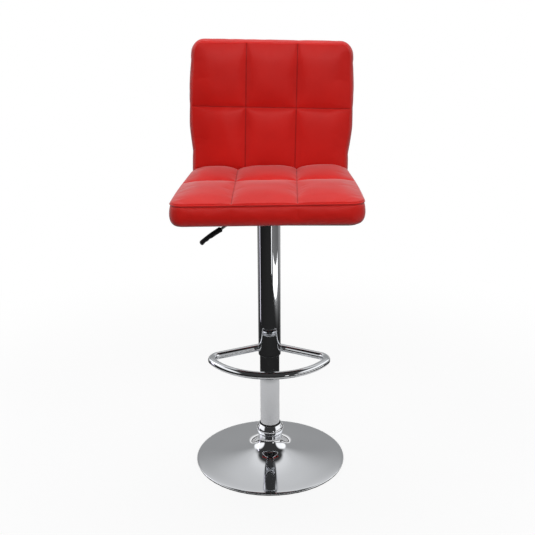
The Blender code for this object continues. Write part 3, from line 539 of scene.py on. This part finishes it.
def skin(name, half, half_at, ends, corners, seams, height, side, far_dome, place_at):
    """A closed padded skin: a sewn panel of squares, a gusset in rows round it, and a plain far side.

    half is the panel's nominal half width and half_at its real one for each place along it. corners are the radii at
    the low and high end, seams the seam places across and along. side lists (inset, level) rows down the gusset.
    """
    low, high = ends
    seams_x, seams_y = seams
    xs = grid_lines((-half, half), seams_x, (max(corners), max(corners)))
    ys = grid_lines(ends, seams_y, corners)

    def laid(x, y, inset):
        reach = half_at(y)
        if x < seams_x[0]:
            x = seams_x[0] + (x - seams_x[0]) * (reach + seams_x[0]) / (half + seams_x[0])
        elif x > seams_x[-1]:
            x = seams_x[-1] + (x - seams_x[-1]) * (reach - seams_x[-1]) / (half - seams_x[-1])
        x *= (reach - inset) / reach
        reach -= inset
        y = low + inset + (y - low) * (high - low - 2 * inset) / (high - low)
        for radius, depth, way in ((corners[0], y - low - inset, 1), (corners[1], high - inset - y, -1)):
            radius = max(radius - inset, 0.003)
            if depth < radius and abs(x) > reach - radius:
                a = (abs(x) - (reach - radius)) / radius
                b = (radius - depth) / radius
                x = math.copysign(reach - radius + radius * a * math.sqrt(1 - b * b / 2), x)
                out = radius * b * math.sqrt(1 - a * a / 2)
                y = low + inset + radius - out if way == 1 else high - inset - radius + out
        return x, y

    shape = bmesh.new()
    count_x, count_y = len(xs) - 1, len(ys) - 1
    firm, lines = [], []

    def vert(x, y, level, pinned, line=0.0):
        made = shape.verts.new(place_at(x, y, level))
        firm.append(1.0 if pinned else 0.0)
        lines.append(line)
        return made

    panel = {}
    for j, y in enumerate(ys):
        for i, x in enumerate(xs):
            edge = i in (0, count_x) or j in (0, count_y)
            sewn = min(min(abs(x - s) for s in seams_x), min(abs(y - s) for s in seams_y)) < 1e-6
            px, py = laid(x, y, side[0][0])
            panel[i, j] = vert(px, py, height(x, y, px, py), edge or sewn, 1.0 if sewn else 0.0)
    around = ([(i, 0) for i in range(count_x)] + [(count_x, j) for j in range(count_y)]
              + [(i, count_y) for i in range(count_x, 0, -1)] + [(0, j) for j in range(count_y, 0, -1)])
    for j in range(count_y):
        for i in range(count_x):
            shape.faces.new((panel[i, j], panel[i + 1, j], panel[i + 1, j + 1], panel[i, j + 1]))
    loops = [[panel[key] for key in around]]
    for row, (inset, level, pinned) in enumerate(side[1:]):
        # The third gusset row is the groove between its ribs; it is marked for painted shade like the seams.
        loops.append([vert(*laid(xs[i], ys[j], inset), level, pinned, 0.9 if row == 2 else 0.0) for i, j in around])
    last_inset, last_level, _ = side[-1]
    far = {key: v for key, v in zip(around, loops[-1])}
    for j in range(1, count_y):
        for i in range(1, count_x):
            px, py = laid(xs[i], ys[j], last_inset)
            far[i, j] = vert(px, py, last_level + far_dome(xs[i] / half, 2 * (ys[j] - low) / (high - low) - 1), True)
    for first, second in zip(loops, loops[1:]):
        for k in range(len(around)):
            n = (k + 1) % len(around)
            shape.faces.new((first[k], second[k], second[n], first[n]))
    for j in range(count_y):
        for i in range(count_x):
            shape.faces.new((far[i, j], far[i, j + 1], far[i + 1, j + 1], far[i + 1, j]))
    mesh = finished_mesh(shape, name)
    # The seam and groove marks go on the mesh, where the leather paints shade along them.
    mesh.attributes.new("seam_shade_line", "FLOAT", "POINT").data.foreach_set("value", lines)
    return mesh, firm


def inflate(piece, firm, pressure, most, spare):
    """The cover is filled from inside, as stuffing does, and then fixed in that shape."""
    mesh = piece.data
    group = piece.vertex_groups.new(name="sewn")
    for index, weight in enumerate(firm):
        group.add([index], weight, "REPLACE")
    rest = np.empty(len(mesh.vertices) * 3)
    mesh.vertices.foreach_get("co", rest)
    rest = rest.reshape(-1, 3)
    cloth = piece.modifiers.new("filling", "CLOTH")
    settings = cloth.settings
    settings.quality = 6
    settings.mass = 0.25
    settings.tension_stiffness = 12
    settings.compression_stiffness = 12
    settings.shear_stiffness = 4
    settings.bending_stiffness = 0.25
    settings.use_pressure = True
    settings.uniform_pressure_force = pressure
    settings.shrink_min = -spare
    settings.shrink_max = -spare
    settings.vertex_group_mass = "sewn"
    settings.pin_stiffness = 1.0
    settings.effector_weights.gravity = 0.0
    scene = bpy.context.scene
    for number in range(1, 21):
        scene.frame_set(number)
    graph = bpy.context.evaluated_depsgraph_get()
    filled = piece.evaluated_get(graph)
    moved = np.empty(len(mesh.vertices) * 3)
    filled.data.vertices.foreach_get("co", moved)
    moved = moved.reshape(-1, 3) - rest
    far = np.linalg.norm(moved, axis=1, keepdims=True)
    moved *= np.tanh(far / most) * most / np.maximum(far, 1e-9)
    piece.modifiers.remove(cloth)
    mesh.vertices.foreach_set("co", (rest + moved).reshape(-1))
    scene.frame_set(1)
    mesh.update()
    finer = piece.modifiers.new("finer", "SUBSURF")
    finer.levels = 1
    finer.render_levels = 1
    graph = bpy.context.evaluated_depsgraph_get()
    finished = bpy.data.meshes.new_from_object(piece.evaluated_get(graph))
    piece.modifiers.clear()
    piece.vertex_groups.clear()
    piece.data = finished
    for face in finished.polygons:
        face.use_smooth = True


def bulge(value, low, high, power):
    s = 2 * (value - low) / (high - low) - 1
    return max(0.0, 1 - abs(s) ** power)


# The seat: three squares across, two rows deep, seen from above; its levels are heights.
SEAT_HALF = 0.2245
SEAT_REAR_HALF = 0.199
SEAT_FRONT, SEAT_REAR = -0.204, 0.1235
SEAT_SEAMS = ((-0.081, 0.070), (0.000,))
SEAT_TILT = 0.014
SEAT_EDGE = 0.7555
SEAM_DEPTH = 0.0028


def seat_half(y):
    share = (y - SEAT_FRONT) / (SEAT_REAR - SEAT_FRONT)
    return SEAT_HALF + (SEAT_REAR_HALF - SEAT_HALF) * share + 0.004 * math.sin(math.pi * share)


def seat_height(x, y, px, py):
    stops = (-SEAT_HALF, *SEAT_SEAMS[0], SEAT_HALF)
    depth = 0.0
    for left, right in zip(stops, stops[1:]):
        if left <= x <= right:
            depth = bulge(x, left, right, 3.0)
    if y < SEAT_SEAMS[1][0]:
        along = bulge(y, SEAT_FRONT, SEAT_SEAMS[1][0], 2.6)
    else:
        along = 1 - (1 - min((y - SEAT_SEAMS[1][0]) / 0.085, 1.0)) ** 2.4
    edge = min(y - SEAT_FRONT, SEAT_HALF - abs(x))
    level = SEAT_EDGE + 0.0030 * smooth(0.0, 0.045, edge) + 0.0095 * depth * along
    level += 0.0020 * smooth(0.0, SEAT_REAR, y) - 0.006 * smooth(SEAT_REAR - 0.010, SEAT_REAR, y)
    crease = min(min(abs(x - s) for s in SEAT_SEAMS[0]), abs(y - SEAT_SEAMS[1][0]))
    level -= SEAM_DEPTH * (1 - smooth(0.0, SEAM_HALF, crease))
    level -= 0.0007 * math.exp(-((y + 0.0075) / 0.0016) ** 2)
    level += 0.0009 * noise.noise(Vector((px * 21, py * 21, 3.1))) * smooth(0.0, 0.03, edge)
    return level


SEAT_SIDE = [(0.0034, 0.7555, True), (0.0052, 0.7542, True), (0.0022, 0.7529, True), (0.0010, 0.7513, True),
             (0.0016, 0.7495, True), (0.0046, 0.7479, True), (0.0022, 0.7453, False), (0.0010, 0.7385, False),
             (0.0003, 0.7310, False), (0.0000, 0.7240, False), (0.0004, 0.7185, False), (0.0014, 0.7130, False),
             (0.0034, 0.7082, False), (0.0062, 0.7042, True), (0.0096, 0.7014, True), (0.0118, 0.7004, True),
             (0.0135, 0.7004, True), (0.0137, 0.7040, True), (0.0137, 0.7090, True), (0.0137, 0.7141, True)]

seat_mesh, seat_firm = skin("seat_upholstery", SEAT_HALF, seat_half, (SEAT_FRONT, SEAT_REAR), (0.034, 0.014),
                            SEAT_SEAMS, seat_height, SEAT_SIDE, lambda a, b: 0.0,
                            lambda x, y, level: (x, y, level + SEAT_TILT * x))
seat_piece = new_piece("seat_upholstery", seat_mesh, LEATHER, "column", ("seat_cushion",))

# The back: three squares across and three up; its levels are depths in front of its middle plane.
BACK_LEAN = math.radians(6.2)
BACK_FOOT = Vector((0.0, 0.1475, 0.700))
BACK_TOP = 0.374
BACK_HALF = 0.2070
BACK_EDGE = 0.0235
BACK_SEAMS = ((-0.066, 0.066), (0.046, 0.209))
BACK_TURN = math.radians(1.2)
LEANING = Matrix.Translation(BACK_FOOT) @ Matrix.Rotation(-BACK_LEAN, 4, "X")


def on_back(x, up, level):
    return LEANING @ Vector((x * math.cos(BACK_TURN) + up * math.sin(BACK_TURN), -level,
                             up * math.cos(BACK_TURN) - x * math.sin(BACK_TURN)))


def back_half(up):
    widths = ((0.0, 0.1980), (0.085, 0.1988), (0.170, 0.2066), (0.250, 0.2070), (0.330, 0.2035), (BACK_TOP, 0.2010))
    for (a, first), (b, second) in zip(widths, widths[1:]):
        if up <= b:
            return first + (second - first) * smooth(a, b, up)
    return widths[-1][1]


def back_height(x, up, px, pup):
    stops = (-BACK_HALF, *BACK_SEAMS[0], BACK_HALF)
    depth = 0.0
    for left, right in zip(stops, stops[1:]):
        if left <= x <= right:
            depth = bulge(x, left, right, 3.0)
    rows = (0.0, *BACK_SEAMS[1], BACK_TOP)
    along = 0.0
    for low, high in zip(rows, rows[1:]):
        if low <= up <= high:
            along = bulge(up, low, high, 3.0)
    edge = min(up, BACK_TOP - up, BACK_HALF - abs(x))
    level = BACK_EDGE + 0.0022 * smooth(0.0, 0.04, edge) + 0.0062 * depth * along
    crease = min(min(abs(x - s) for s in BACK_SEAMS[0]), min(abs(up - s) for s in BACK_SEAMS[1]))
    level -= SEAM_DEPTH * (1 - smooth(0.0, SEAM_HALF, crease))
    level += 0.0008 * noise.noise(Vector((px * 18, pup * 18, 7.7))) * smooth(0.0, 0.03, edge)
    return level


BACK_SIDE = [(0.0078, 0.0235, True), (0.0086, 0.0222, True), (0.0056, 0.0208, True), (0.0044, 0.0190, True),
             (0.0064, 0.0168, True), (0.0034, 0.0140, False), (0.0014, 0.0095, False), (0.0002, 0.0040, False),
             (0.0000, -0.0020, False), (0.0006, -0.0085, False), (0.0024, -0.0145, False), (0.0052, -0.0190, False),
             (0.0078, -0.0214, True), (0.0090, -0.0224, True), (0.0098, -0.0240, True)]

back_mesh, back_firm = skin("back_upholstery", BACK_HALF, back_half, (0.0, BACK_TOP), (0.020, 0.030), BACK_SEAMS,
                            back_height, BACK_SIDE,
                            lambda a, b: -0.0034 * (1 - a ** 4) * (1 - b ** 4), on_back)
back_piece = new_piece("back_upholstery", back_mesh, LEATHER, "column", ("back_cushion",))

for piece, firm in ((seat_piece, seat_firm), (back_piece, back_firm)):
    inflate(piece, firm, pressure=4.0, most=0.0022, spare=0.004)

# ---------------------------------------------------------------- room, lights and camera

def world_look():
    """Dark towards the viewer, paler behind and bright overhead, as a studio is; plain white where it is seen."""
    world = bpy.data.worlds.new("studio")
    bpy.context.scene.world = world
    world.use_nodes = True
    world.node_tree.nodes.clear()
    room = Tree(world.node_tree)
    side, forward, up = room.split(room.node("ShaderNodeTexCoord"))
    beside = up.between(0.08, 0.25) * side.size().between(0.66, 0.80) * forward.between(-0.80, -0.50)
    behind = 0.30 + up.between(0.42, 0.72) * 0.28 + up.between(0.70, 0.84) * 0.15
    behind = behind * forward.between(0.10, 0.45) * (1 - up.between(0.84, 0.90))
    level = (0.04 + behind + beside * 1.1).least(1.2)
    backdrop = (1 - up.between(0.02, 0.10)) * forward.between(0.35, 0.60)
    lit = room.node("ShaderNodeBackground", {}, {"Color": (0.98, 0.99, 1.0, 1.0), "Strength": level})
    white = room.node("ShaderNodeBackground", {}, {"Color": (1.0, 1.0, 1.0, 1.0), "Strength": 1.0})
    seen = room.node("ShaderNodeLightPath", out="Is Camera Ray")
    mirrored = (room.node("ShaderNodeLightPath", out="Is Glossy Ray")
                + room.node("ShaderNodeLightPath", out="Is Transmission Ray"))
    shown = room.node("ShaderNodeMixShader", {}, {0: (seen + mirrored * backdrop).least(1.0), 1: lit, 2: white})
    room.node("ShaderNodeOutputWorld", {}, {"Surface": shown}, out=None)


def floor_piece():
    mesh = bpy.data.meshes.new("studio_floor")
    half = 12.0
    corners = [(-half, -half, 0.0), (half, -half, 0.0), (half, half, 0.0), (-half, half, 0.0)]
    mesh.from_pydata(corners, [], [(0, 1, 2, 3)])
    floor = bpy.data.objects.new("studio_floor", mesh)
    bpy.context.scene.collection.objects.link(floor)
    look = Look("white_floor", (0.9, 0.9, 0.9), Roughness=0.9, Specular_IOR_Level=0.0)
    # For all rays but the camera's, the floor's colour is painted light and shade for the chrome to mirror and for
    # bounce light: pale within about half a metre of the stool, nearly black beyond it, paler to the right and
    # behind. The camera sees it plain white.
    x, y, _ = look.split(look.place())
    away = (x * x + y * y) ** 0.5
    outer = x.between(0.85, 1.3) * 0.20 + y.between(0.3, 1.4) * 0.35 + 0.02
    near = away.between(0.48, 0.57)
    painted_light_and_shade = (1 - near) * 0.62 + near * outer
    seen = look.node("ShaderNodeLightPath", out="Is Camera Ray")
    look.feed("Base Color", look.node("ShaderNodeCombineColor", {}, [(painted_light_and_shade * (1 - seen) + seen * 0.9)] * 3))
    glow = look.node("ShaderNodeEmission", {}, {"Color": (1.0, 1.0, 1.0, 1.0), "Strength": 1.0})
    shown = look.node("ShaderNodeMixShader", {}, {0: seen * (0.84 + away.between(0.5, 1.6) * 0.16), 2: glow})
    look.tree.links.new(look.shader.outputs[0], shown.socket.node.inputs[1])
    look.tree.links.new(shown.socket, look.tree.nodes["Material Output"].inputs["Surface"])
    mesh.materials.append(look.material)


def softbox(name, place, aim, width, height, power, tone=(1.0, 1.0, 1.0), mirrored=True):
    lamp = bpy.data.lights.new(name, "AREA")
    lamp.shape = "RECTANGLE"
    lamp.size = width
    lamp.size_y = height
    lamp.energy = power
    lamp.color = tone
    box = bpy.data.objects.new(name, lamp)
    box.location = place
    box.visible_glossy = mirrored
    box.rotation_euler = (Vector(aim) - Vector(place)).to_track_quat("-Z", "Y").to_euler()
    bpy.context.scene.collection.objects.link(box)


def camera_piece():
    view = bpy.data.cameras.new("camera")
    view.lens = 67.3
    view.sensor_width = 36.0
    view.clip_end = 60.0
    eye = bpy.data.objects.new("camera", view)
    turn = math.radians(1.35)
    distance = 2.361
    eye.matrix_world = (Matrix.Translation((distance * math.sin(turn) - 0.0039, -distance * math.cos(turn), 1.352))
                        @ Matrix.Rotation(turn, 4, "Z") @ Matrix.Rotation(math.radians(90 - 19.1), 4, "X")
                        @ Matrix.Rotation(math.radians(-0.41), 4, "Z"))
    bpy.context.scene.collection.objects.link(eye)
    bpy.context.scene.camera = eye


world_look()
floor_piece()
softbox("overhead_softbox", (0.0, 0.55, 2.75), (0.0, 0.0, 0.7), 1.9, 1.3, 25.0, mirrored=False)
softbox("front_softbox", (0.1, -2.3, 2.2), (0.0, 0.1, 0.85), 2.0, 1.2, 50.0, mirrored=False)
softbox("left_strip", (-0.985, 0.174, 0.65), (0.0, 0.0, 0.65), 0.13, 1.3, 0.6, (0.90, 0.86, 1.0))
softbox("right_low_strip", (1.13, -0.446, 0.070), (0.0, 0.0, 0.070), 1.32, 0.135, 0.85)
softbox("right_strip", (0.58, -1.12, 0.23), (0.0, 0.0, 0.23), 0.13, 0.28, 0.15)
camera_piece()
bpy.context.scene.view_settings.view_transform = "Standard"
